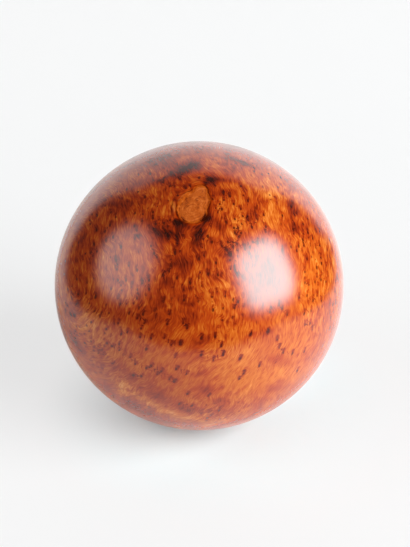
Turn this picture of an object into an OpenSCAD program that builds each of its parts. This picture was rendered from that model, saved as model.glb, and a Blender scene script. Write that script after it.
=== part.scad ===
// Turned ball of polished burl wood, in millimetres.
// The origin is the ball's centre and +Z is up. The ball is one solid piece.
// Its one feature is an old knot: a patch with an irregular outline whose face
// has shrunk a little below the turned surface and follows the same curve.

/* [Ball] */
// Diameter of the turned ball
ball_d = 100; // [60:1:140]

/* [Knot] */
// Direction of the knot's middle round +Z, from +X towards +Y, in degrees
knot_azimuth = 265.3; // [0:0.1:360]
// Height of the knot's middle above the equator, in degrees
knot_elevation = 58.8; // [-80:0.1:80]
// Depth of the knot's face below the turned surface
knot_sink = 0.2; // [0.1:0.05:1]
// Radius of the knot's round body
knot_body_r = 5.0; // [4:0.1:8]
// Radius of the shoulder between the body and the side shoot
knot_shoulder_r = 4.1; // [3:0.1:6]
// Sideways step from the body's middle to the shoulder's
knot_shoulder_side = 1.4; // [0:0.1:3]
// Upward step from the body's middle to the shoulder's
knot_shoulder_rise = 3.7; // [2:0.1:6]
// Radius of the small side shoot at the knot's upper end
knot_shoot_r = 2.5; // [1.5:0.1:4.5]
// Sideways step from the body's middle to the side shoot's
knot_shoot_side = 2.1; // [0:0.1:4]
// Upward step from the body's middle to the side shoot's
knot_shoot_rise = 7.6; // [6:0.1:10]

/* [Hidden] */
$fn = 128;
ball_r = ball_d / 2;
// The cut over the knot starts at the ball's middle and ends a little outside it
cut_clearance = 1;
cut_height = ball_r + cut_clearance;

// Turns what stands on +Z to the knot's place, with +Y of the outline pointing uphill
module at_knot() {
    rotate([0, 0, knot_azimuth + 90])
        rotate([90 - knot_elevation, 0, 0])
            children();
}

// The knot's outline, seen straight on: a round body, a shoulder and a side shoot
module knot_outline() {
    circle(r = knot_body_r);
    translate([knot_shoulder_side, knot_shoulder_rise])
        circle(r = knot_shoulder_r);
    translate([knot_shoot_side, knot_shoot_rise])
        circle(r = knot_shoot_r);
}

// What is missing over the knot: its outline, down to a sphere just under the surface
module knot_recess() {
    difference() {
        at_knot()
            linear_extrude(height = cut_height)
                knot_outline();
        sphere(r = ball_r - knot_sink);
    }
}

module ball() {
    color("#a9480f")
        difference() {
            sphere(d = ball_d);
            knot_recess();
        }
}

ball();
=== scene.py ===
"""Looks of a turned burl-wood ball with an old knot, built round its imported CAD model."""
import math

import bpy
import numpy as np
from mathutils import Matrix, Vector, noise


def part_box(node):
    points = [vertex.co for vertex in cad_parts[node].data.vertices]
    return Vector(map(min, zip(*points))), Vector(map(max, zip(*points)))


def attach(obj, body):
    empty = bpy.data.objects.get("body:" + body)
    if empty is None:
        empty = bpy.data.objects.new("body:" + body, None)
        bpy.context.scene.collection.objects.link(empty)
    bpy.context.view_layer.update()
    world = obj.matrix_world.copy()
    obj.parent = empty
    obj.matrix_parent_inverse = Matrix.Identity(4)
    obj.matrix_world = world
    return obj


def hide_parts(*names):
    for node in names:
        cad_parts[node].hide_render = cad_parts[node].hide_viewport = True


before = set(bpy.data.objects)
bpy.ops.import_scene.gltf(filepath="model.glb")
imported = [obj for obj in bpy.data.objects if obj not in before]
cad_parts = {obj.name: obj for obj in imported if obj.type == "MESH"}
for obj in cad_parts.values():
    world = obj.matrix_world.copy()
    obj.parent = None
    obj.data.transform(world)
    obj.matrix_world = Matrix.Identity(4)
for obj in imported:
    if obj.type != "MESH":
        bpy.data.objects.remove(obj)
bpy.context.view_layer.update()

# Sizes, in metres
MM = 0.001
ball_low, ball_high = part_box("ball")
BALL_R = (ball_high.z - ball_low.z) / 2
FLOOR_Z = ball_low.z

# The knot, with the sizes that its solid has: each circle is a sideways step, an upward step and a radius
KNOT_AZIMUTH = math.radians(265.3)
KNOT_ELEVATION = math.radians(58.8)
KNOT_SINK = 0.2 * MM
KNOT_CIRCLES = ((0, 0, 5.0 * MM), (1.4 * MM, 3.7 * MM, 4.1 * MM), (2.1 * MM, 7.6 * MM, 2.5 * MM))
KNOT_MIDDLE = (1.0 * MM, 2.5 * MM)
KNOT_RIM = 0.45 * MM
KNOT_BLEND = 1.2 * MM
KNOT_GRAIN = 0.05 * MM
KNOT_GRAIN_SIZE_MM = 1.3
TURNING_WAVE = 0.03 * MM
TURNING_WAVE_SIZE_MM = 13

# The ball's mesh: lines that run out from the knot's middle, and rings round it
MESH_LINES = 328
MESH_KNOT_RINGS = 12
MESH_BALL_RINGS = 286
# The knot's outline is found by halving this angle so many times
OUTLINE_SEARCH_ANGLE = math.radians(20)
OUTLINE_SEARCH_STEPS = 40

# How the photograph shows the ball, in its pixels, and where its camera stood
PHOTO_SIZE = (410, 547)
BALL_AT_PIXEL = (199.2, 285.5)
BALL_R_PIXELS = 144.5
CAMERA_ELEVATION = math.radians(30)
CAMERA_DISTANCE = 10 * BALL_R
FOCAL_PIXELS = BALL_R_PIXELS * math.sqrt((CAMERA_DISTANCE / BALL_R) ** 2 - 1)
CAMERA_BACK = np.array([0, -math.cos(CAMERA_ELEVATION), math.sin(CAMERA_ELEVATION)])
CAMERA_UP = np.array([0, math.sin(CAMERA_ELEVATION), math.cos(CAMERA_ELEVATION)])
CAMERA_RIGHT = np.array([1.0, 0, 0])
SENSOR = 36.0
CAMERA_CLIP_START = 0.01

# The grain follows growth layers: shells about the line between these spots of the photograph
GRAIN_HEART_PIXELS = ((72, 245), (76, 285))
# Slow waves of the layers: height and size in millimetres, octaves, shift of the noise
LAYER_WAVES = ((2.6, 22, 2, 3.1), (1.3, 7, 3, 7.7))
# How far the layers bulge at an eye, and how far that and the knot's own layers reach, in millimetres
EYE_LIFT = (0.2, 0.8)
EYE_LIFT_REACH = 1.3
KNOT_WRAP_REACH = 2.2
# Where the finest fibres lie flatter: photo x and y, half length, half width, tilt in degrees
FLAT_PATCH = (268, 368, 62, 46, 0)
# How much deeper a fibre's layer counts there for each pixel downwards, in millimetres
FLAT_DROP = 0.20

# Dark blots in the figure: photo x and y, half length, half width, tilt in degrees, darkening
DARK_BLOTS = (
    (186, 168.5, 15, 5.5, 20, 0.58), (170, 174, 6, 3, 30, 0.25), (157, 181, 7, 2.5, -8, 0.26),
    (211, 180, 6.5, 5, 25, 0.56), (209.5, 205, 8, 1.3, 88, 0.40), (225, 180, 10, 2.5, -5, 0.20),
    (222, 192, 11, 3.5, -5, 0.22), (179, 222, 5, 3.5, -10, 0.65), (208, 218, 6, 5, 70, 0.75),
    (199, 226, 6, 2.5, 15, 0.26), (198, 236, 9, 6, 70, 0.54), (168, 233, 14, 7, -5, 0.42),
    (178, 238, 10, 3, 85, 0.40), (184, 264, 9, 6, 0, 0.30), (168, 282, 5, 5, 0, 0.25),
    (164, 297, 4, 4, 0, 0.20), (190, 320, 9, 9, 0, 0.15), (181, 344, 4, 4, 0, 0.25),
    (205, 338, 15, 5, 32, 0.18), (144, 315, 9, 7, 0, 0.25), (126, 204, 7, 5, 0, 0.28),
    (111, 203, 6, 4, 0, 0.20), (97, 229, 5, 5, 0, 0.25), (81, 242, 9, 4.5, 75, 0.20),
    (78, 264, 8, 5, 80, 0.12), (134, 226, 3.2, 3.4, 0, 0.50), (138, 236, 2.6, 2.4, 0, 0.45),
    (76, 342, 17, 6, -62, 0.26), (71, 310, 9, 6, -75, 0.08), (118, 369, 12, 5, -25, 0.18),
    (134, 378, 8, 5, 0, 0.20), (155, 394, 11, 5, -20, 0.25), (107, 390, 12, 4.5, -42, 0.15),
    (136, 408, 21, 4.5, -28, 0.20), (162, 420, 15, 3.5, -18, 0.15), (184, 409, 10, 4, -15, 0.20),
    (206, 389, 8, 4.5, 5, 0.22), (291, 204, 5, 3.5, 90, 0.45), (295, 213, 4.5, 4, 0, 0.45),
    (296, 227, 8, 5, -10, 0.25), (264, 200, 5.5, 4, 0, 0.25), (254, 211, 7, 6, 0, 0.20),
    (317, 227, 9, 3, -60, 0.25), (307, 259, 7, 3, 85, 0.25), (275, 359, 10, 6, 10, 0.18),
    (201, 373, 6.5, 2.4, 25, 0.26), (216, 378, 5, 2, 30, 0.24), (221, 388, 5.5, 2, 40, 0.24),
    (242, 389, 6, 1.4, 35, 0.22), (246, 369, 4, 2, 50, 0.20), (218, 400, 6, 2, 10, 0.18),
    (272, 389, 10, 3, 10, 0.16), (281, 381, 4, 2.5, 30, 0.18), (240, 358, 4, 2, 50, 0.20),
    (251, 316, 7, 6, 90, 0.22), (268, 332, 6, 3, 25, 0.30), (252, 335, 5, 2.5, 25, 0.30),
    (286, 315, 4, 2, 65, 0.25), (298, 301, 5, 2.5, 65, 0.14), (224, 252, 5.5, 5.5, 0, 0.15),
    (231, 255, 3.5, 3, 0, 0.12), (160, 160, 22, 8, 15, 0.20), (239, 161, 19, 2, -18, 0.30),
    (122, 214, 48, 26, 25, 0.07), (267, 278, 33, 27, 90, 0.40), (234, 191.5, 6, 4, -20, 0.28),
    (221, 225, 9, 5, -25, 0.28), (151, 198, 13, 5, -55, 0.14), (174, 198, 4, 4, 0, 0.22),
    (188, 256, 12, 6, -10, 0.20), (172, 263, 15, 5, 80, 0.15), (158, 308, 13, 10, 0, 0.18),
    (194, 317, 5, 6, 0, 0.15), (195, 350, 10, 6, 85, 0.16), (250, 341, 24, 6, 5, 0.09),
    (307, 235, 10, 4, -50, 0.12), (160, 333, 12, 9, 60, 0.12), (108, 300, 10, 8, 90, 0.10),
    (198, 357, 14, 4, 0, 0.10), (176, 268, 8, 4.5, 10, 0.16), (243, 208, 8, 8, 0, 0.08),
    (205, 151, 8, 6, 0, 0.14), (224, 165, 10, 9, 0, 0.12), (245, 156, 10, 4, -20, 0.12),
    (251, 194, 9, 5, -10, 0.13), (218, 199, 6, 4, 90, 0.10), (188, 227, 5, 4, 0, 0.24),
    (137, 412, 42, 5, -32, 0.08), (148, 272, 40, 12, 90, 0.06), (172, 318, 26, 12, 0, 0.06),
    (226, 338, 7, 7, 0, 0.08), (269, 345, 10, 7, 90, 0.08), (285, 362, 10, 7, 20, 0.08),
    (285, 206, 8, 5, -35, 0.12), (205, 246, 8, 5, 0, 0.09), (186, 241, 9, 5, 90, 0.08),
    (170, 284, 9, 5, 25, 0.09),
)
# Pale streaks in the figure, given in the same way
PALE_STREAKS = (
    (187, 240, 13, 2.6, 88, 0.15), (197, 265, 11, 2.2, -75, 0.12), (123, 387, 8, 4.5, 70, 0.30),
    (142, 399.5, 20, 4, -28, 0.12), (172, 414, 18, 4, -22, 0.13), (196, 419, 10, 3, -8, 0.11),
    (222, 420, 16, 3.5, 8, 0.12), (230, 214, 16, 14, 0, 0.07), (272, 214, 16, 12, 90, 0.12),
    (309, 266, 38, 12, 90, 0.21), (243, 350, 28, 20, 30, 0.08), (290, 330, 30, 25, 90, 0.08),
    (213, 162, 12, 10, 0, 0.15), (188, 157, 9, 2.5, 10, 0.15), (165, 309, 9, 1.4, 15, 0.20),
    (160, 203, 16, 9, 90, 0.08), (258, 366, 46, 35, 0, 0.12), (300, 285, 12, 18, 0, 0.08),
    (205, 370, 50, 32, 0, 0.07), (120, 362, 40, 32, 0, 0.06), (90, 325, 18, 14, 0, 0.10),
    (271, 193, 11, 5, -12, 0.20), (290, 200, 8, 4, -25, 0.12), (286, 238, 14, 5, -55, 0.14),
    (228, 290, 10, 7, -38, 0.28), (247, 309, 8, 5, 0, 0.14), (212, 256, 6, 6, 0, 0.22),
    (216, 270, 9, 4, 0, 0.14), (209, 305, 6, 4, 0, 0.12), (185, 286, 5, 4, 20, 0.16),
    (303, 296, 10, 8, 90, 0.10), (328, 246, 9, 5, 90, 0.16), (325, 292, 20, 5, 66, 0.14),
    (278, 316, 10, 5, 30, 0.10), (268, 379, 34, 9, 12, 0.08), (275, 199, 8, 4, -30, 0.12),
    (261, 226, 6, 4, -55, 0.15), (300, 345, 11, 6, 25, 0.08), (297, 375, 16, 7, 25, 0.10),
    (84, 333, 9, 8, 0, 0.12), (197, 404, 7, 4, 0, 0.15), (172, 395, 8, 4, 0, 0.10),
    (162, 410, 12, 3, -20, 0.08), (124, 391, 9, 4, 0, 0.14), (225, 303, 9, 5, -20, 0.11),
    (238, 315, 10, 4, 20, 0.12), (165, 257, 9, 4, 90, 0.10), (122, 297, 6, 5, 90, 0.12),
    (124, 264, 16, 14, 0, 0.09), (136, 176, 12, 5, 15, 0.08), (112, 199, 10, 5, 20, 0.10),
    (236, 298, 5, 4, 0, 0.14), (229, 209, 4, 4, 0, 0.14), (323, 238, 11, 4, -62, 0.15),
    (331, 272, 6, 5, 90, 0.14), (305, 220, 6, 5, 0, 0.12), (253, 174, 5, 4, 0, 0.12),
    (160, 176, 9, 3, -5, 0.10), (92, 344, 14, 7, 0, 0.09), (76, 316, 12, 7, 0, 0.08),
    (254, 222, 14, 10, 0, 0.08), (281, 212, 8, 7, 0, 0.09), (272, 190, 20, 6, -20, 0.07),
    (219, 236, 12, 5, 90, 0.09), (131, 372, 7, 6, 0, 0.10), (312, 322, 12, 6, 75, 0.09),
    (110, 228, 24, 8, 25, 0.06), (213, 339, 7, 6, 0, 0.12), (217, 308, 11, 6, 0, 0.11),
    (233, 282, 6, 6, 0, 0.12), (282, 312, 10, 8, 90, 0.10), (293, 196, 10, 7, -60, 0.08),
    (245, 389, 18, 5, -5, 0.08), (115, 350, 45, 40, 0, 0.03), (185, 300, 55, 50, 0, 0.015),
)
# Where old bark lies round the knot: photo x and y, half length, half width, tilt in degrees, strength
KNOT_SCARS = ((172, 208, 11, 7, 80, 1.0), (199, 178, 12, 7, 0, 0.6))
# Where the knot's face runs past its sunken part: photo x and y, half length, half width, tilt, millimetres
KNOT_SPILL = (182, 196, 8, 5, 50, 1.2)
# How calm the figure is: its usual level, and the height and size in millimetres of slow changes
CALM_LEVEL = 0.15
CALM_SWING = 0.25
CALM_SIZE = 30
CALM_MOST = 0.75
# Where it is calmer: photo x and y, half length, half width, tilt in degrees, strength
CALM_PATCHES = (
    (268, 277, 32, 25, 90, 0.5),
    (215, 380, 120, 50, 0, 0.50),
    (112, 352, 62, 46, 0, 0.30),
    (280, 360, 45, 40, 0, 0.30),
    (312, 268, 36, 14, 90, 0.22),
    (200, 158, 80, 18, 0, 0.30),
)
# The ball's rim in the photograph, by the cosine of its turn from the camera: where it starts and ends
RIM_OUTER = (-0.15, 0.05)
RIM_INNER = (0.25, 0.60)
RIM_LEAN = 0.17
RIM_CALM = 0.60
# The rim is patchy in this size in millimetres, with painted shade at its top and painted light at its lower
# left
RIM_PATCH_SIZE = 16
RIM_TOP = CAMERA_UP + 0.3 * CAMERA_RIGHT
RIM_TOP_PAINTED_SHADE = 0.17
RIM_LOWER_LEFT = -0.5 * CAMERA_UP - 1.2 * CAMERA_RIGHT
RIM_LOWER_LEFT_PAINTED_LIGHT = 0.10
# Where eyes have plain tails, and where the fibres show as dark hairs: x, y, half length, half width, tilt
COMET_PATCH = (235, 365, 90, 50, 0)
HAIR_PATCH = (292, 352, 46, 42, 0)
# Eyes with a ring round them: photo x and y, the ring's radius in pixels, darkening
RING_HALF_WIDE = 2.2
RINGED_EYES = (
    (189, 297, 8.5, 0.20),
    (71, 309, 6, 0.12),
    (116, 260, 3, 0.25),
    (224, 252, 4.5, 0.14),
    (218, 275, 3.5, 0.20),
)
# The plainest single eyes, by their photo x and y
EYES = (
    (170, 155), (145, 197), (143, 214), (153, 212), (153, 218), (156, 224), (164, 223), (170, 220),
    (142, 221), (151, 246), (154, 253), (157, 257), (175, 253), (171, 259), (171, 266), (169, 271),
    (163, 275), (177, 278), (190, 283), (199, 259), (203, 239), (212, 242), (226, 222), (235, 233),
    (241, 233), (239, 237), (242, 224), (238, 228), (234, 228), (252, 227), (255, 230), (248, 220),
    (243, 216), (241, 209), (234, 204), (230, 196), (224, 194), (224, 200), (220, 204), (216, 208),
    (218, 212), (222, 209), (213, 199), (248, 201), (241, 186), (228, 242), (233, 242), (237, 244),
    (233, 247), (222, 246), (227, 250), (230, 255), (245, 249), (253, 242), (258, 243), (186, 188),
    (178, 195), (175, 186), (180, 179), (154, 180), (163, 182), (216, 263), (208, 274), (218, 275),
    (212, 297), (225, 296), (234, 308), (238, 302), (222, 320), (213, 310), (149, 289), (142, 283),
    (149, 280), (169, 314), (167, 324), (183, 323), (187, 328), (189, 324), (184, 300), (188, 302),
    (151, 338), (141, 328), (144, 323), (164, 338), (171, 345), (180, 344), (201, 338), (215, 337),
    (250, 335), (254, 333), (135, 213), (116, 217), (126, 222), (110, 225), (105, 231), (111, 212),
    (97, 230), (94, 244), (106, 241), (113, 237), (121, 247), (116, 260), (117, 269), (137, 270), (90, 220),
    (97, 251), (91, 252), (83, 259), (90, 263), (77, 279), (87, 282), (94, 278), (100, 316), (102, 312),
    (109, 313), (113, 314), (120, 304), (129, 313), (137, 318), (143, 314), (91, 322), (118, 323),
    (121, 334), (127, 332), (112, 346), (119, 344), (122, 347), (103, 354), (130, 357), (146, 349),
    (112, 363), (151, 366), (157, 374), (169, 379), (174, 382), (175, 357), (176, 369), (186, 374),
    (201, 355), (205, 356), (213, 360), (223, 355), (240, 359), (239, 379), (259, 366), (268, 332),
    (272, 330), (270, 312), (279, 305), (282, 309), (287, 315), (299, 298), (300, 303), (307, 296),
    (317, 296), (313, 301), (304, 314), (311, 311), (310, 324), (305, 325), (283, 353), (292, 354),
    (279, 348), (277, 340), (312, 330), (304, 352), (297, 371), (266, 227), (266, 232), (264, 215),
    (257, 219), (294, 234), (308, 219), (308, 233), (313, 239), (303, 240), (304, 246), (320, 232),
    (320, 246), (316, 248), (297, 251), (307, 259), (321, 258), (317, 268), (305, 272), (317, 277),
    (321, 280), (326, 282), (305, 283), (309, 285), (179, 366), (179, 382), (161, 371), (221, 346),
    (243, 374), (187, 394), (179, 404), (191, 406), (208, 396), (89, 331), (91, 341), (106, 329),
    (107, 343), (98, 346), (119, 350), (98, 353), (135, 364), (146, 368), (133, 375), (141, 376), (94, 311),
    (89, 303), (78, 294), (86, 293), (95, 297), (118, 280), (121, 285), (126, 280), (137, 298), (140, 337),
    (217, 211), (219, 215), (170, 186), (166, 225), (163, 228), (174, 223), (235, 219), (225, 224),
    (238, 237),
)

# The side that the photograph doesn't show, by the same cosine, and how many eyes it gets
HIDDEN_BELOW = 0.2
HIDDEN_EYES = 300
HIDDEN_SPARE_DRAWS = 8
# Its blots and streaks: how many, half lengths and half widths in millimetres, strengths
HIDDEN_BLOTS = (110, (1.5, 6.0), (1.0, 3.0), (0.12, 0.36))
HIDDEN_STREAKS = (45, (3.0, 10.0), (1.0, 3.5), (0.08, 0.22))
# Least distance between eyes, near the knot and a quarter turn from it
EYE_SPACING = (1.0 * MM, 1.9 * MM)
# Half width of an eye's core, and how far around an eye counts as near it, in millimetres
EYE_SIZES = (0.25, 0.44)
EYE_REACH = 1.1
EYE_SEARCH_CHUNK = 8000
# Ragged edges: how far they wander as a share of the ball's radius, size in millimetres, noise shifts
WANDER = 0.026
WANDER_SIZE = 5
WANDER_SHIFTS = (1.3, 5.9, 9.2)
# Blots at least this wide in pixels wander fully, and rings and the hidden side by these shares
WANDER_PIXELS = 7
RING_WANDER = 0.5
HIDDEN_WANDER = 0.6
SEED = 11


def unit(vector):
    """The vector with a length of 1."""
    return vector / np.linalg.norm(vector)


def smoothstep(low, high, value):
    """0 below low, 1 above high, and a smooth rise between them."""
    t = np.clip((value - low) / (high - low), 0, 1)
    return t * t * (3 - 2 * t)


def fractal(points, size, octaves=3, shift=0.0):
    """Soft random values from about -1 to 1 at points in millimetres, with features of about that size."""
    places = points / size + shift
    return np.array([noise.fractal(Vector(p), 1.0, 2.0, octaves) for p in places])


def under_pixel(x, y):
    """Where on a ball of radius 1 the photograph's pixel lies."""
    across = (x - BALL_AT_PIXEL[0]) * CAMERA_RIGHT
    down = (y - BALL_AT_PIXEL[1]) * CAMERA_UP
    ray = unit(across - down - FOCAL_PIXELS * CAMERA_BACK)
    start = CAMERA_BACK * CAMERA_DISTANCE / BALL_R
    nearest = ray @ start
    reach = math.sqrt(max(nearest**2 - start @ start + 1, 0))
    return unit(start - (nearest + reach) * ray)


def pixel_offsets(points, x, y):
    """How many pixels points of the ball lie right of and below a photographed spot, on the surface there."""
    here = under_pixel(x, y)
    right = under_pixel(x + 0.5, y) - under_pixel(x - 0.5, y)
    down = under_pixel(x, y + 0.5) - under_pixel(x, y - 0.5)
    gram = np.array([[right @ right, right @ down], [right @ down, down @ down]])
    away = points - here
    offsets = np.linalg.solve(gram, np.array([away @ right, away @ down]))
    behind = points @ here < 0.5
    offsets[:, behind] = PHOTO_SIZE[1]
    return offsets


def blot(points, x, y, half_long, half_wide, tilt):
    """1 in the middle of an oval spot on the ball and 0 well away from it."""
    right, down = pixel_offsets(points, x, y)
    turn = math.radians(tilt)
    along = (right * math.cos(turn) - down * math.sin(turn)) / half_long
    across = (right * math.sin(turn) + down * math.cos(turn)) / half_wide
    return np.exp(-(along**2) - across**2)


def hidden_spots(rng, count):
    """Directions strewn over the side of the ball that the photograph doesn't show."""
    spots = rng.normal(size=(HIDDEN_SPARE_DRAWS * count, 3))
    spots /= np.linalg.norm(spots, axis=1)[:, None]
    return spots[spots @ CAMERA_BACK < HIDDEN_BELOW][:count]


def hidden_tone(points, rng, count, lengths, widths, depths):
    """The tone of oval patches strewn over the hidden side, each turned its own way."""
    tone = np.zeros(len(points))
    for middle in hidden_spots(rng, count):
        heading = unit(np.cross(middle, rng.normal(size=3)))
        away = points - middle
        along = away @ heading / (rng.uniform(*lengths) * MM / BALL_R)
        across = away @ np.cross(middle, heading) / (rng.uniform(*widths) * MM / BALL_R)
        tone += rng.uniform(*depths) * np.exp(-(along**2) - across**2) * (points @ middle > 0)
    return tone


# The knot's own directions: outwards, sideways and uphill
KNOT_OUT = np.array([
    math.cos(KNOT_ELEVATION) * math.cos(KNOT_AZIMUTH),
    math.cos(KNOT_ELEVATION) * math.sin(KNOT_AZIMUTH),
    math.sin(KNOT_ELEVATION),
])
KNOT_SIDE = np.array([-math.sin(KNOT_AZIMUTH), math.cos(KNOT_AZIMUTH), 0])
KNOT_UP = np.cross(KNOT_OUT, KNOT_SIDE)


def outline_gap(directions):
    """How far points of the ball lie outside the knot's outline, and below 0 inside it."""
    side = directions @ KNOT_SIDE * BALL_R
    rise = directions @ KNOT_UP * BALL_R
    gaps = [np.hypot(side - s, rise - h) - r for s, h, r in KNOT_CIRCLES]
    gap = gaps[0]
    for other in gaps[1:]:
        blend = np.clip(1 - np.abs(gap - other) / KNOT_BLEND, 0, 1)
        gap = np.minimum(gap, other) - KNOT_BLEND / 4 * blend**2
    facing = directions @ KNOT_OUT > 0
    return np.where(facing, gap, BALL_R)


def ball_directions():
    """The directions of the mesh's points, ring by ring, between the knot's middle and the point opposite."""
    side, rise = KNOT_MIDDLE
    pole = unit(KNOT_OUT * math.sqrt(BALL_R**2 - side**2 - rise**2) + KNOT_SIDE * side + KNOT_UP * rise)
    pole_side = unit(np.cross(KNOT_UP, pole))
    pole_up = np.cross(pole, pole_side)
    turns = np.linspace(0, 2 * math.pi, MESH_LINES, endpoint=False)
    headings = np.outer(np.cos(turns), pole_side) + np.outer(np.sin(turns), pole_up)

    def at(angle):
        return np.cos(angle)[:, None] * pole + np.sin(angle)[:, None] * headings

    low = np.zeros(MESH_LINES)
    high = np.full(MESH_LINES, OUTLINE_SEARCH_ANGLE)
    for _ in range(OUTLINE_SEARCH_STEPS):
        middle = (low + high) / 2
        inside = outline_gap(at(middle)) < 0
        low = np.where(inside, middle, low)
        high = np.where(inside, high, middle)
    outline = high
    rim = KNOT_RIM / BALL_R
    angles = [(outline - rim) * k / MESH_KNOT_RINGS for k in range(1, MESH_KNOT_RINGS + 1)]
    angles += [outline, outline + rim]
    start = outline + rim
    angles += [start + (math.pi - start) * k / MESH_BALL_RINGS for k in range(1, MESH_BALL_RINGS)]
    rings = [at(a) for a in angles]
    return np.vstack([pole[None], *rings, -pole[None]]), len(rings)


def ball_faces(rings):
    """Faces of a mesh of rings between two end points."""
    lines = np.arange(MESH_LINES)
    after = (lines + 1) % MESH_LINES
    last = 1 + rings * MESH_LINES
    faces = [(0, 1 + a, 1 + b) for a, b in zip(lines, after)]
    for ring in range(rings - 1):
        inner = 1 + ring * MESH_LINES
        outer = inner + MESH_LINES
        faces += [(inner + a, outer + a, outer + b, inner + b) for a, b in zip(lines, after)]
    final = last - MESH_LINES
    faces += [(final + a, last, final + b) for a, b in zip(lines, after)]
    return faces


def surface_radius(directions, points_mm, gap):
    """The ball's radius in each direction: turned true, a little wavy, and sunken at the knot."""
    inside = 1 - smoothstep(-KNOT_RIM, KNOT_RIM, gap)
    wave = 0.5 + 0.5 * np.clip(fractal(points_mm, TURNING_WAVE_SIZE_MM, 2), -1, 1)
    grain = 0.5 + 0.5 * np.clip(fractal(points_mm, KNOT_GRAIN_SIZE_MM, 3), -1, 1)
    return BALL_R - TURNING_WAVE * wave * (1 - inside) - (KNOT_SINK + KNOT_GRAIN * grain) * inside


def spaced_eyes():
    """Directions of the photograph's eyes and hidden ones, without those that would touch an earlier one."""
    kept = []
    close, wide = EYE_SPACING
    hidden = hidden_spots(np.random.default_rng(SEED), HIDDEN_EYES)
    for eye in [under_pixel(x, y) for x, y in EYES] + list(hidden):
        spacing = close + (wide - close) * np.linalg.norm(np.cross(eye, KNOT_OUT))
        if all(np.linalg.norm(eye - other) > spacing / BALL_R for other in kept):
            kept.append(eye)
    return np.array(kept)


def nearest_eye(points, eyes):
    """The nearest eye to each point, and how far away it is in millimetres."""
    index = np.zeros(len(points), int)
    nearness = np.zeros(len(points))
    for start in range(0, len(points), EYE_SEARCH_CHUNK):
        part = slice(start, start + EYE_SEARCH_CHUNK)
        facing = points[part] @ eyes.T
        index[part] = np.argmax(facing, axis=1)
        nearness[part] = np.max(facing, axis=1)
    return index, BALL_R / MM * np.sqrt(np.clip(2 - 2 * nearness, 0, None))


def heart_distance(points):
    """How far points lie from the grain's heart, in millimetres, and the direction away from it."""
    first, last = (under_pixel(*pixel) for pixel in GRAIN_HEART_PIXELS)
    line = last - first
    share = np.clip((points - first) @ line / (line @ line), 0, 1)
    away = points - first - share[:, None] * line
    chord = np.clip(np.linalg.norm(away, axis=1), 1e-6, 2)
    return BALL_R / MM * 2 * np.arcsin(chord / 2), away / chord[:, None]


def summed_blots(points, places):
    """The summed strength of oval spots on the ball."""
    return sum(strength * blot(points, *place) for *place, strength in places)


def ragged_blots(points, wander, places):
    """The summed strength of oval spots with ragged edges, where narrow ones wander less."""
    total = np.zeros(len(points))
    for x, y, half_long, half_wide, tilt, strength in places:
        ragged = points + wander * min(half_wide / WANDER_PIXELS, 1)
        total += strength * blot(ragged, x, y, half_long, half_wide, tilt)
    return total


def grain_layers(points, mm, gap_mm, lift, distance):
    """The depth of the growth layers at each point, in millimetres, and the direction of the grain."""
    depth, outwards = heart_distance(points)
    depth += sum(height * fractal(mm, *wave) for height, *wave in LAYER_WAVES)
    depth += lift * np.exp(-((distance / EYE_LIFT_REACH) ** 2))
    knot_depth = heart_distance(KNOT_OUT[None])[0][0] - KNOT_CIRCLES[0][2] / MM
    wrap = np.exp(-np.clip(gap_mm, 0, None) / KNOT_WRAP_REACH)
    depth = depth * (1 - wrap) + (knot_depth - gap_mm) * wrap
    along = np.cross(points, outwards)
    return depth, along / np.linalg.norm(along, axis=1)[:, None]


def figure_tone(points, mm, rng):
    """How much paler than usual the wood is at each point, by its blots, streaks and rings."""
    wander = WANDER * np.stack([fractal(mm, WANDER_SIZE, 4, shift) for shift in WANDER_SHIFTS], axis=1)
    tone = ragged_blots(points, wander, PALE_STREAKS) - ragged_blots(points, wander, DARK_BLOTS)
    for x, y, radius, depth in RINGED_EYES:
        right, down = pixel_offsets(points + RING_WANDER * wander, x, y)
        tone -= depth * np.exp(-(((np.hypot(right, down) - radius) / RING_HALF_WIDE) ** 2))
    tone -= hidden_tone(points + HIDDEN_WANDER * wander, rng, *HIDDEN_BLOTS)
    tone += hidden_tone(points + HIDDEN_WANDER * wander, rng, *HIDDEN_STREAKS)
    return tone


def rim_fields(points, mm):
    """How much each point belongs to the rim in the photograph, how calm that makes it, and the painted shade
    and light on it.
    """
    facing = points @ CAMERA_BACK
    inwards = facing + RIM_LEAN * np.clip(points @ CAMERA_RIGHT, 0, None)
    rim = smoothstep(*RIM_OUTER, facing) * (1 - smoothstep(*RIM_INNER, inwards))
    patchy = np.clip(0.5 + 0.6 * fractal(mm, RIM_PATCH_SIZE, 3, 8.3), 0, 1)
    above = np.clip(points @ RIM_TOP, 0, 1) ** 2
    below = np.clip(points @ RIM_LOWER_LEFT, 0, 1)
    # Painted shade darkens the top of the rim, and painted light makes its lower left paler
    tone = (RIM_LOWER_LEFT_PAINTED_LIGHT * below - RIM_TOP_PAINTED_SHADE * above) * rim * (0.5 + patchy)
    return rim, RIM_CALM * rim * patchy, tone


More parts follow.
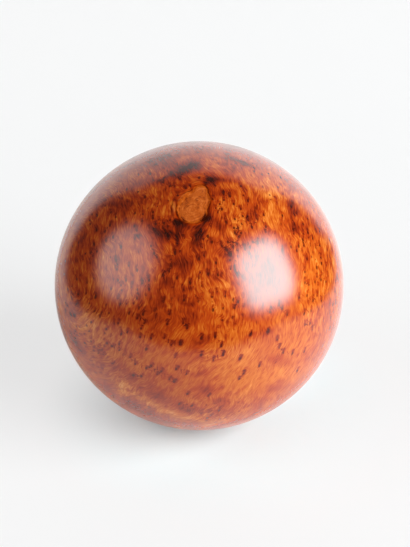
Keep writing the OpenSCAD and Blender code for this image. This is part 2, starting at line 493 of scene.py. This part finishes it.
def figure_fields(points, gap):
    """What the wood's figure is at each point of the ball: grain, tone, eyes and the knot's edge, and the
    rim's painted shade and light.
    """
    rng = np.random.default_rng(SEED)
    mm = points * BALL_R / MM
    gap_mm = gap / MM
    eyes = spaced_eyes()
    index, distance = nearest_eye(points, eyes)
    lift = rng.uniform(*EYE_LIFT, len(eyes)) * rng.choice([-1, 1], len(eyes))
    flow, along = grain_layers(points, mm, gap_mm, lift[index], distance)
    drop = FLAT_DROP * pixel_offsets(points, *FLAT_PATCH[:2])[1] * blot(points, *FLAT_PATCH)
    tone = figure_tone(points, mm, rng)
    rim, rim_calm, painted_rim_light_and_shade = rim_fields(points, mm)
    calm = CALM_LEVEL + CALM_SWING * fractal(mm, CALM_SIZE, 2, 4.4)
    calm += summed_blots(points, CALM_PATCHES) + rim_calm
    *spill_place, spill = KNOT_SPILL

    return {
        "flow": flow,
        "fibre_flow": flow + drop,
        "along": along,
        "across": np.cross(points, along),
        # The tone holds the wood's own tone and the rim's painted shade and light
        "tone": tone + painted_rim_light_and_shade,
        "calm": np.clip(calm, 0, CALM_MOST),
        "comet": 0.5 + 0.5 * blot(points, *COMET_PATCH),
        "hair": blot(points, *HAIR_PATCH),
        "rim": rim,
        "scar": np.clip(summed_blots(points, KNOT_SCARS), 0, 1),
        "eye": mm - eyes[index] * BALL_R / MM,
        "eye_size": rng.uniform(*EYE_SIZES, len(eyes))[index],
        "eye_near": np.exp(-((distance / EYE_REACH) ** 2)),
        "knot_gap": gap_mm,
        "face_gap": gap_mm - spill * blot(points, *spill_place),
    }


def make_ball():
    """The ball as one mesh, with the figure's fields on its points."""
    directions, rings = ball_directions()
    gap = outline_gap(directions)
    mm = directions * BALL_R / MM
    radius = surface_radius(directions, mm, gap)
    mesh = bpy.data.meshes.new("burl_ball")
    mesh.from_pydata((directions * radius[:, None]).tolist(), [], ball_faces(rings))
    mesh.polygons.foreach_set("use_smooth", [True] * len(mesh.polygons))
    for name, values in figure_fields(directions, gap).items():
        kind, slot = ("FLOAT_VECTOR", "vector") if values.ndim == 2 else ("FLOAT", "value")
        field = mesh.attributes.new(name, kind, "POINT")
        field.data.foreach_set(slot, values.astype(np.float32).ravel())
    mesh.update()
    ball = bpy.data.objects.new("burl_ball", mesh)
    bpy.context.scene.collection.objects.link(ball)
    return ball


class Graph:
    """Short ways to build a material's nodes."""

    def __init__(self, name):
        self.material = bpy.data.materials.new(name)
        self.material.use_nodes = True
        self.tree = self.material.node_tree
        self.tree.nodes.clear()

    def node(self, kind, inputs=(), **settings):
        made = self.tree.nodes.new(kind)
        for key, value in settings.items():
            setattr(made, key, value)
        for key, value in dict(inputs).items():
            self.put(made.inputs[key], value)
        return made

    def put(self, socket, value):
        if isinstance(value, bpy.types.NodeSocket):
            self.tree.links.new(value, socket)
        else:
            socket.default_value = value

    def math(self, operation, a, b=0.0):
        return self.node("ShaderNodeMath", {0: a, 1: b}, operation=operation).outputs[0]

    def add(self, *terms):
        total = terms[0]
        for term in terms[1:]:
            total = self.math("ADD", total, term)
        return total

    def swing(self, value, size):
        """A texture's value about its middle, times size."""
        return self.math("MULTIPLY", self.math("SUBTRACT", value, 0.5), size)

    def field(self, name, output="Fac"):
        return self.node("ShaderNodeAttribute", attribute_name=name).outputs[output]

    def rise(self, value, low, high, start=0.0, end=1.0):
        inputs = {"Value": value, "From Min": low, "From Max": high, "To Min": start, "To Max": end}
        return self.node("ShaderNodeMapRange", inputs, interpolation_type="SMOOTHSTEP").outputs["Result"]

    def band(self, value, middle, half):
        """1 where the value is at the middle, falling to 0 at half a band away."""
        return self.rise(self.math("ABSOLUTE", self.math("SUBTRACT", value, middle)), 0.0, half, 1.0, 0.0)

    def scaled(self, vector, factor):
        node = self.node("ShaderNodeVectorMath", {"Vector": vector, "Scale": factor}, operation="SCALE")
        return node.outputs["Vector"]

    def noise(self, place, detail=2.0, roughness=0.5, w=0.0):
        inputs = {"Vector": place, "W": w, "Scale": 1.0, "Detail": detail, "Roughness": roughness}
        return self.node("ShaderNodeTexNoise", inputs, noise_dimensions="4D").outputs["Fac"]

    def vector(self, operation, a, b=(0, 0, 0), output="Vector"):
        return self.node("ShaderNodeVectorMath", {0: a, 1: b}, operation=operation).outputs[output]

    def oval(self, u, v, half_long, half_wide):
        """How far out in an oval a place u along and v across from its middle lies, with 1 on the oval."""
        long_part = self.math("DIVIDE", u, half_long)
        wide_part = self.math("DIVIDE", v, half_wide)
        long_part = self.math("MULTIPLY", long_part, long_part)
        wide_part = self.math("MULTIPLY", wide_part, wide_part)
        return self.math("SQRT", self.math("ADD", long_part, wide_part))

    def ramp(self, value, stops):
        node = self.node("ShaderNodeValToRGB", {"Fac": value})
        elements = node.color_ramp.elements
        while len(elements) < len(stops):
            elements.new(0.5)
        for element, (place, colour) in zip(elements, stops):
            element.position = place
            element.color = (*colour, 1)
        return node.outputs["Color"]

    def mix(self, share, first, second):
        node = self.node("ShaderNodeMix", {}, data_type="RGBA")
        self.put(node.inputs["Factor"], share)
        self.put(node.inputs[6], first)
        self.put(node.inputs[7], second)
        return node.outputs[2]


WOOD_STOPS = (
    (0.00, (0.020, 0.0025, 0.0008)),
    (0.15, (0.055, 0.0050, 0.0008)),
    (0.30, (0.125, 0.0095, 0.0009)),
    (0.45, (0.23, 0.020, 0.0012)),
    (0.60, (0.34, 0.039, 0.0022)),
    (0.75, (0.44, 0.088, 0.006)),
    (0.90, (0.54, 0.150, 0.016)),
    (1.00, (0.62, 0.22, 0.04)),
)
KNOT_STOPS = (
    (0.00, (0.035, 0.004, 0.001)),
    (0.20, (0.19, 0.027, 0.003)),
    (0.45, (0.33, 0.060, 0.005)),
    (0.62, (0.39, 0.076, 0.007)),
    (0.85, (0.48, 0.120, 0.022)),
)
EYE_COLOUR = (0.050, 0.006, 0.0014, 1)
EDGE_COLOUR = (0.045, 0.005, 0.0012, 1)
FLECK_COLOUR = (0.60, 0.22, 0.07, 1)
BARK_COLOUR = (0.34, 0.12, 0.035, 1)


# Eyes in the figure, in millimetres: a dark core, and a brown tail that trails off along the grain
EYE_STRETCH = 1.5
TAIL_SHIFT = 1.0
TAIL_HALF_LONG = 2.0
TAIL_HALF_WIDE = 0.85
# Strewn eyes: each one's cell, its least half width, how much wider it may be, and the size of their crowds
EYE_CELL = 2.7
STREWN_LEAST = 0.17
STREWN_MORE = 0.28
STREWN_CROWD = 11
# The grain's three sizes: millimetres along and across the growth layers, detail and roughness of the noise
MOTTLE = (8, 5, 3.0, 0.6)
STREAK = (3, 1.2, 2.0, 0.5)
FIBRE = (2.4, 0.36, 1.0, 0.5)
# Sizes of the noise that isn't layered, in millimetres
SPECKLE_SIZE = 0.7
GRIT_SIZE = 1.1
CLOUD_SIZE = 3.5
# Places on the colour ramps: the plain wood, how much darker an eye's tail is, and the knot's face
WOOD_SHADE = 0.62
TAIL_SHADE = -0.38
KNOT_SHADE = 0.53
# The finish: roughness of the wood and how much duller the knot is, and the depth of the bump
ROUGHNESS = 0.21
KNOT_DULLER = 0.12
VARNISH_IOR = 1.5
BUMP_STRENGTH = 0.5
BUMP_DEPTH = 0.2 * MM


def eye_marks(g, offset, size, ragged):
    """The core and the tail of an eye, each from 0 to 1, by the way from its middle and its size."""
    u = g.vector("DOT_PRODUCT", offset, g.field("along", "Vector"), "Value")
    v = g.vector("DOT_PRODUCT", offset, g.field("across", "Vector"), "Value")
    u = g.math("ADD", u, g.swing(ragged, 0.5))
    reach = g.oval(u, v, g.math("MULTIPLY", size, EYE_STRETCH), size)
    core = g.rise(g.math("ADD", reach, g.swing(ragged, 0.7)), 0.75, 1.2, 1.0, 0.0)
    tail_reach = g.oval(g.math("SUBTRACT", u, TAIL_SHIFT), v, TAIL_HALF_LONG, TAIL_HALF_WIDE)
    tail = g.rise(g.math("ADD", tail_reach, g.swing(ragged, 1.2)), 0.2, 1.2, 1.0, 0.0)
    return core, tail


def strewn_eyes(g, place, cell, ragged):
    """The marks of eyes strewn all over, one to a cell, each with a size and a strength of its own."""
    spot = g.scaled(place, 1 / cell)
    cells = g.node("ShaderNodeTexVoronoi", {"Vector": spot, "Scale": 1.0})
    offset = g.scaled(g.vector("SUBTRACT", spot, cells.outputs["Position"]), cell)
    chance = g.node("ShaderNodeSeparateColor", {"Color": cells.outputs["Color"]})
    wider = g.math("MULTIPLY", g.math("POWER", chance.outputs["Red"], 2.0), STREWN_MORE)
    size = g.add(STREWN_LEAST, wider)
    core, tail = eye_marks(g, offset, size, ragged)
    crowd = g.swing(g.noise(g.scaled(place, 1 / STREWN_CROWD), 1.0), 2.4)
    strength = g.rise(g.math("ADD", chance.outputs["Green"], crowd), 0.40, 0.85)
    return g.math("MULTIPLY", core, strength), g.math("MULTIPLY", tail, strength)


def wood_eyes(g, place, speckle, lively):
    """The cores and the tails of all eyes: those of the photograph, and strewn ones between them."""
    near = g.rise(g.field("eye_near"), 0.12, 0.35)
    core, tail = eye_marks(g, g.field("eye", "Vector"), g.field("eye_size"), speckle)
    core = g.math("MULTIPLY", core, near)
    tail = g.math("MULTIPLY", tail, g.rise(g.field("eye_near"), 0.01, 0.12))
    between = g.math("MULTIPLY", g.math("SUBTRACT", 1.0, near), g.rise(lively, 0.35, 0.75, 0.12, 1.0))
    more_core, more_tail = strewn_eyes(g, place, EYE_CELL, speckle)
    core = g.math("MAXIMUM", core, g.math("MULTIPLY", more_core, between))
    tail = g.math("MAXIMUM", tail, g.math("MULTIPLY", more_tail, between))

    # Eyes are fainter at the rim, and their tails are plain only in some parts
    clear = g.rise(g.field("rim"), 0.10, 0.70, 1.0, 0.45)
    core = g.math("MULTIPLY", core, g.math("MULTIPLY", clear, g.rise(lively, 0.2, 0.8, 0.78, 0.88)))
    tail = g.math("MULTIPLY", tail, g.math("MULTIPLY", clear, g.field("comet")))
    return core, tail


def layered_noise(g, place, depth, along, across, detail, roughness):
    """Noise in flakes that lie along the growth layers."""
    layer = g.math("MULTIPLY", depth, 1 / across)
    return g.noise(g.scaled(place, 1 / along), detail, roughness, layer)


def wood_colour(g, mottle, streak, fibre, core, tail, lively):
    """The wood's colour by its tone, its grain in three sizes and its eyes."""
    smooth = g.rise(g.field("rim"), 0.2, 0.9, 1.0, 0.45)
    grain = g.add(g.swing(mottle, 1.15), g.math("MULTIPLY", g.swing(streak, 0.75), smooth))
    fine = g.math("MULTIPLY", g.swing(fibre, 0.85), g.rise(lively, 0.0, 0.8, 0.22, 1.0))
    hairs = g.math("MULTIPLY", g.rise(fibre, 0.30, 0.42, -0.20, 0.0), g.field("hair"))
    ragged = g.add(1.0, g.math("MULTIPLY", g.swing(streak, 1.8), lively))
    # The tone field holds the wood's own tone and the rim's painted shade and light
    shade = g.add(
        WOOD_SHADE,
        g.math("MULTIPLY", g.field("tone"), ragged),
        g.math("MULTIPLY", grain, lively),
        g.math("MULTIPLY", g.add(fine, hairs), smooth),
        g.math("MULTIPLY", tail, TAIL_SHADE),
    )
    return g.mix(core, g.ramp(shade, WOOD_STOPS), EYE_COLOUR)


def knot_face(g, grit, cloud, fibre, streak, speckle):
    """The colour of the knot's gritty face, with pale flecks."""
    face = g.add(
        KNOT_SHADE,
        g.swing(grit, 1.4),
        g.swing(cloud, 0.5),
        g.swing(fibre, 1.1),
        g.swing(streak, 0.4),
        g.math("MULTIPLY", g.field("tone"), 0.9),
    )
    flecks = g.rise(speckle, 0.66, 0.80, 0.0, 0.5)
    return g.mix(flecks, g.ramp(face, KNOT_STOPS), FLECK_COLOUR)


def knot_edge(g, colour, gap, cloud):
    """The colour with the dark line along parts of the knot's edge, and old bark beside it."""
    edge = g.math("MULTIPLY", g.band(gap, 0.2, 0.45), g.rise(cloud, 0.45, 0.62, 0.0, 0.85))
    colour = g.mix(edge, colour, EDGE_COLOUR)
    scar = g.field("scar")
    bark = g.math("MULTIPLY", g.rise(scar, 0.5, 1.0), g.band(gap, 1.0, 0.7))
    colour = g.mix(g.math("MULTIPLY", bark, 0.45), colour, BARK_COLOUR)
    lines = g.math("MAXIMUM", g.band(gap, 0.25, 0.45), g.band(gap, 1.9, 0.5))
    lines = g.math("MULTIPLY", lines, g.math("MULTIPLY", scar, 0.75))
    return g.mix(lines, colour, EDGE_COLOUR)


def burl_material():
    """Polished burl: layered grain, mottling, dark eyes, and the dull face of the knot."""
    g = Graph("polished_burl")
    place = g.scaled(g.node("ShaderNodeTexCoord").outputs["Object"], 1 / MM)
    flow = g.field("flow")
    lively = g.math("SUBTRACT", 1.0, g.field("calm"))
    speckle = g.noise(g.scaled(place, 1 / SPECKLE_SIZE), 1.0)
    grit = g.noise(g.scaled(place, 1 / GRIT_SIZE), 3.0, 0.6)
    cloud = g.noise(g.scaled(place, 1 / CLOUD_SIZE), 2.0)
    mottle = layered_noise(g, place, flow, *MOTTLE)
    streak = layered_noise(g, place, flow, *STREAK)
    fibre = layered_noise(g, place, g.field("fibre_flow"), *FIBRE)
    core, tail = wood_eyes(g, place, speckle, lively)

    # The colour: wood outside the knot's ragged edge, and its face inside
    gap = g.add(g.field("face_gap"), g.swing(cloud, 1.6), g.swing(grit, 0.8))
    inside = g.rise(gap, -0.35, 0.25, 1.0, 0.0)
    wood = wood_colour(g, mottle, streak, fibre, core, tail, lively)
    face = knot_face(g, grit, cloud, fibre, streak, speckle)
    colour = knot_edge(g, g.mix(inside, wood, face), gap, cloud)

    # The finish: even polish, dull on the knot and nearly none in its edge
    gloss = g.add(ROUGHNESS, g.swing(streak, 0.03), g.math("MULTIPLY", inside, KNOT_DULLER))
    polish = g.rise(g.math("ABSOLUTE", g.field("knot_gap")), 0.4, 1.1, 0.03, 0.5)
    polish = g.math("MULTIPLY", polish, g.rise(g.field("face_gap"), -0.2, 0.2, 0.5, 1.0))
    height = g.add(
        g.swing(fibre, 0.02),
        g.math("MULTIPLY", core, -0.02),
        g.math("MULTIPLY", inside, g.swing(grit, 0.8)),
    )
    bump = g.node("ShaderNodeBump", {"Height": height, "Strength": BUMP_STRENGTH, "Distance": BUMP_DEPTH})
    surface = g.node("ShaderNodeBsdfPrincipled", {
        "Base Color": colour,
        "Roughness": gloss,
        "IOR": VARNISH_IOR,
        "Specular IOR Level": polish,
        "Normal": bump.outputs["Normal"],
    })
    g.node("ShaderNodeOutputMaterial", {"Surface": surface.outputs["BSDF"]})
    return g.material


# The stage: a white sheet that ends in front of the ball and sweeps up well behind it, in metres.
# Its outline on the floor is given by steps back from the ball and how far it reaches left and right there
SHEET_OUTLINE = ((-0.185, 0.25, 0.32), (0.09, 0.20, 0.17), (0.20, 0.27, 0.20), (0.80, 0.77, 0.75))
SHEET_BACK = 0.80
SHEET_HALF_WIDTH = 1.0
SHEET_BEND = 0.25
SHEET_BEND_STEPS = 12
SHEET_TOP = 1.36
SHEET_COLOUR = (0.92, 0.92, 0.92, 1)
# More shine of the sheet in the polish, behind the ball and on its right: where it starts and is full
BACK_SHINE = 0.33
BACK_STARTS = (0.25, 0.60)
SIDE_SHINE = 0.5
SIDE_STARTS = (0.03, 0.08)
# As the camera sees the sheet near the ball, and on the right light's side: where that starts and is full
NEAR_COLOUR = (0.79, 0.97, 1.0, 1)
LIT_COLOUR = (0.71, 0.865, 0.89, 1)
LIT_STARTS = (0.010, 0.045)
# As the camera sees it away from the ball: a grey that a glow evens out to white, a little more at the back
FAR_COLOUR = (0.214, 0.22, 0.222, 1)
FAR_GLOW = 0.68
BACK_GLOW = 0.028
BACK_GLOW_STARTS = (0.05, 0.40)
GLOW_MIDDLE = (0.008, 0, 0)
GLOW_START = 0.011
GLOW_FULL = 0.072


def sheet_material():
    """White that shines a little more in the polish, and is evened out as the camera sees it."""
    g = Graph("white_sheet")
    place = g.node("ShaderNodeTexCoord").outputs["Object"]
    rays = g.node("ShaderNodeLightPath").outputs
    parts = g.node("ShaderNodeSeparateXYZ", {"Vector": place}).outputs

    # For all other rays
    back = g.rise(parts["Y"], *BACK_STARTS, 0.0, BACK_SHINE)
    side = g.rise(parts["X"], *SIDE_STARTS, 0.0, SIDE_SHINE)
    shine = g.math("MULTIPLY", g.math("MAXIMUM", back, side), rays["Is Glossy Ray"])
    plain = g.node("ShaderNodeBsdfDiffuse", {"Color": SHEET_COLOUR})
    extra = g.node("ShaderNodeEmission", {"Strength": shine})
    lit = g.node("ShaderNodeAddShader", {0: plain.outputs["BSDF"], 1: extra.outputs["Emission"]})

    # For the camera
    aside = g.vector("MULTIPLY", g.vector("SUBTRACT", place, GLOW_MIDDLE), (1, 1, 0))
    far = g.rise(g.vector("LENGTH", aside, output="Value"), GLOW_START, GLOW_FULL)
    lightwards = g.vector("DOT_PRODUCT", place, (1, -1, 0), "Value")
    near = g.mix(g.rise(lightwards, *LIT_STARTS), NEAR_COLOUR, LIT_COLOUR)
    shown = g.node("ShaderNodeBsdfDiffuse", {"Color": g.mix(far, near, FAR_COLOUR)})
    level = g.rise(parts["Y"], *BACK_GLOW_STARTS, FAR_GLOW, FAR_GLOW + BACK_GLOW)
    glow = g.node("ShaderNodeEmission", {"Strength": g.math("MULTIPLY", far, level)})
    seen = g.node("ShaderNodeAddShader", {0: shown.outputs["BSDF"], 1: glow.outputs["Emission"]})

    ends = {0: rays["Is Camera Ray"], 1: lit.outputs["Shader"], 2: seen.outputs["Shader"]}
    mix = g.node("ShaderNodeMixShader", ends)
    g.node("ShaderNodeOutputMaterial", {"Surface": mix.outputs["Shader"]})
    return g.material


def make_sheet():
    """The white sheet, as one swept profile."""
    wide = SHEET_HALF_WIDTH
    profile = [(y, 0.0, -left, right) for y, left, right in SHEET_OUTLINE]
    for t in np.linspace(0, math.pi / 2, SHEET_BEND_STEPS + 1)[1:]:
        profile.append((SHEET_BACK + SHEET_BEND * math.sin(t), SHEET_BEND * (1 - math.cos(t)), -wide, wide))
    profile.append((SHEET_BACK + SHEET_BEND, SHEET_TOP, -wide, wide))
    points = [(x, y, FLOOR_Z + z) for y, z, *sides in profile for x in sides]
    faces = [(2 * k, 2 * k + 1, 2 * k + 3, 2 * k + 2) for k in range(len(profile) - 1)]
    mesh = bpy.data.meshes.new("sheet")
    mesh.from_pydata(points, [], faces)
    mesh.polygons.foreach_set("use_smooth", [True] * len(faces))
    mesh.materials.append(sheet_material())
    sheet = bpy.data.objects.new("sheet", mesh)
    bpy.context.scene.collection.objects.link(sheet)


# Soft boxes: name, degrees right of the camera and above the horizon, half their width in degrees as the
# ball sees it, radiance as light and in the polish, and in the polish their outline and colour too.
# An outline is how square it is, with 2 for round, its turn in degrees and its share of the width
SOFT_BOX_DISTANCE = 2.0
SOFT_BOXES = (
    ("right", 60.5, 24.5, 24.0, 11.4, 18.7, (3.5, -9, 0.93), (0.90, 1, 1, 1)),
    ("left", -72, 27.5, 24.8, 2.4, 3.8, (2, 0, 1), (1, 1, 1, 1)),
)
# Where their soft edge starts and ends in the polish, as shares of that outline
SOFT_BOX_EDGE = (0.75, 1.2)
DISC_POINTS = 48


def place_lamp(item, towards):
    """Puts a lamp or a disc at its distance, facing the ball, where the camera doesn't see it."""
    item.location = towards * SOFT_BOX_DISTANCE
    item.rotation_mode = "QUATERNION"
    item.rotation_quaternion = towards.to_track_quat("Z", "Y")
    item.visible_camera = False
    bpy.context.scene.collection.objects.link(item)


def shine_material(name, radius, shine, outline, colour):
    """Light with a soft edge, in an outline between a disc and a square."""
    squareness, tilt, share = outline
    start, edge = (radius * share * part for part in SOFT_BOX_EDGE)
    g = Graph(f"shine_{name}")
    place = g.node("ShaderNodeTexCoord").outputs["Object"]
    turn = math.radians(tilt)
    side = g.vector("DOT_PRODUCT", place, (math.cos(turn), math.sin(turn), 0), "Value")
    upward = g.vector("DOT_PRODUCT", place, (-math.sin(turn), math.cos(turn), 0), "Value")
    powers = [g.math("POWER", g.math("ABSOLUTE", part), squareness) for part in (side, upward)]
    out = g.math("POWER", g.add(*powers), 1 / squareness)
    strength = g.rise(out, start, edge, shine, 0.0)
    glow = g.node("ShaderNodeEmission", {"Color": colour, "Strength": strength})
    g.node("ShaderNodeOutputMaterial", {"Surface": glow.outputs["Emission"]})
    return g.material, edge


def make_soft_box(name, azimuth, elevation, half_angle, radiance, shine, outline, colour):
    """A round area lamp, and a disc with a soft edge that shows only in the ball's polish."""
    turn = math.radians(azimuth)
    rise = math.radians(elevation)
    towards = Vector((math.cos(rise) * math.sin(turn), -math.cos(rise) * math.cos(turn), math.sin(rise)))
    radius = SOFT_BOX_DISTANCE * math.tan(math.radians(half_angle))
    lamp = bpy.data.lights.new(f"lamp_{name}", "AREA")
    lamp.shape = "DISK"
    lamp.size = 2 * radius
    lamp.energy = radiance * math.pi * math.pi * radius**2
    lamp_object = bpy.data.objects.new(f"lamp_{name}", lamp)
    lamp_object.visible_glossy = False
    place_lamp(lamp_object, towards)

    material, edge = shine_material(name, radius, shine, outline, colour)
    reach = math.sqrt(2) * edge
    turns = np.linspace(0, 2 * math.pi, DISC_POINTS, endpoint=False)
    corners = [(reach * math.cos(t), reach * math.sin(t), 0) for t in turns]
    mesh = bpy.data.meshes.new(f"disc_{name}")
    mesh.from_pydata(corners, [], [tuple(range(DISC_POINTS))])
    mesh.materials.append(material)
    disc = bpy.data.objects.new(f"disc_{name}", mesh)
    disc.visible_diffuse = False
    disc.visible_shadow = False
    place_lamp(disc, towards)


# The room's own light, and how the camera sees the room past the sheet
ROOM_LIGHT = (0.05, 0.05, 0.05, 1)
ROOM_SEEN = (0.93, 0.93, 0.93, 1)


def make_world():
    """A dim room, which the camera sees as the same white as the sheet."""
    world = bpy.data.worlds.new("room")
    bpy.context.scene.world = world
    world.use_nodes = True
    nodes = world.node_tree.nodes
    links = world.node_tree.links
    nodes.clear()
    dim = nodes.new("ShaderNodeBackground")
    dim.inputs["Color"].default_value = ROOM_LIGHT
    seen = nodes.new("ShaderNodeBackground")
    seen.inputs["Color"].default_value = ROOM_SEEN
    path = nodes.new("ShaderNodeLightPath")
    mix = nodes.new("ShaderNodeMixShader")
    output = nodes.new("ShaderNodeOutputWorld")
    links.new(path.outputs["Is Camera Ray"], mix.inputs["Fac"])
    links.new(dim.outputs[0], mix.inputs[1])
    links.new(seen.outputs[0], mix.inputs[2])
    links.new(mix.outputs[0], output.inputs["Surface"])


def make_camera():
    """The camera where the photograph was taken, turned so that the ball lies at its place in the frame."""
    data = bpy.data.cameras.new("camera")
    data.sensor_width = SENSOR
    data.lens = FOCAL_PIXELS / max(PHOTO_SIZE) * SENSOR
    data.clip_start = CAMERA_CLIP_START
    camera = bpy.data.objects.new("camera", data)
    pixel = CAMERA_DISTANCE / FOCAL_PIXELS
    right = (PHOTO_SIZE[0] / 2 - BALL_AT_PIXEL[0]) * pixel
    up = (BALL_AT_PIXEL[1] - PHOTO_SIZE[1] / 2) * pixel
    place = CAMERA_BACK * CAMERA_DISTANCE
    target = CAMERA_RIGHT * right + CAMERA_UP * up
    camera.location = place
    camera.rotation_mode = "QUATERNION"
    camera.rotation_quaternion = Vector(target - place).to_track_quat("-Z", "Y")
    bpy.context.scene.collection.objects.link(camera)
    bpy.context.scene.camera = camera


ball = make_ball()
ball.data.materials.append(burl_material())
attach(ball, "root")
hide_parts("ball")

make_sheet()
for box in SOFT_BOXES:
    make_soft_box(*box)
make_world()
make_camera()
bpy.context.scene.view_settings.view_transform = "Standard"
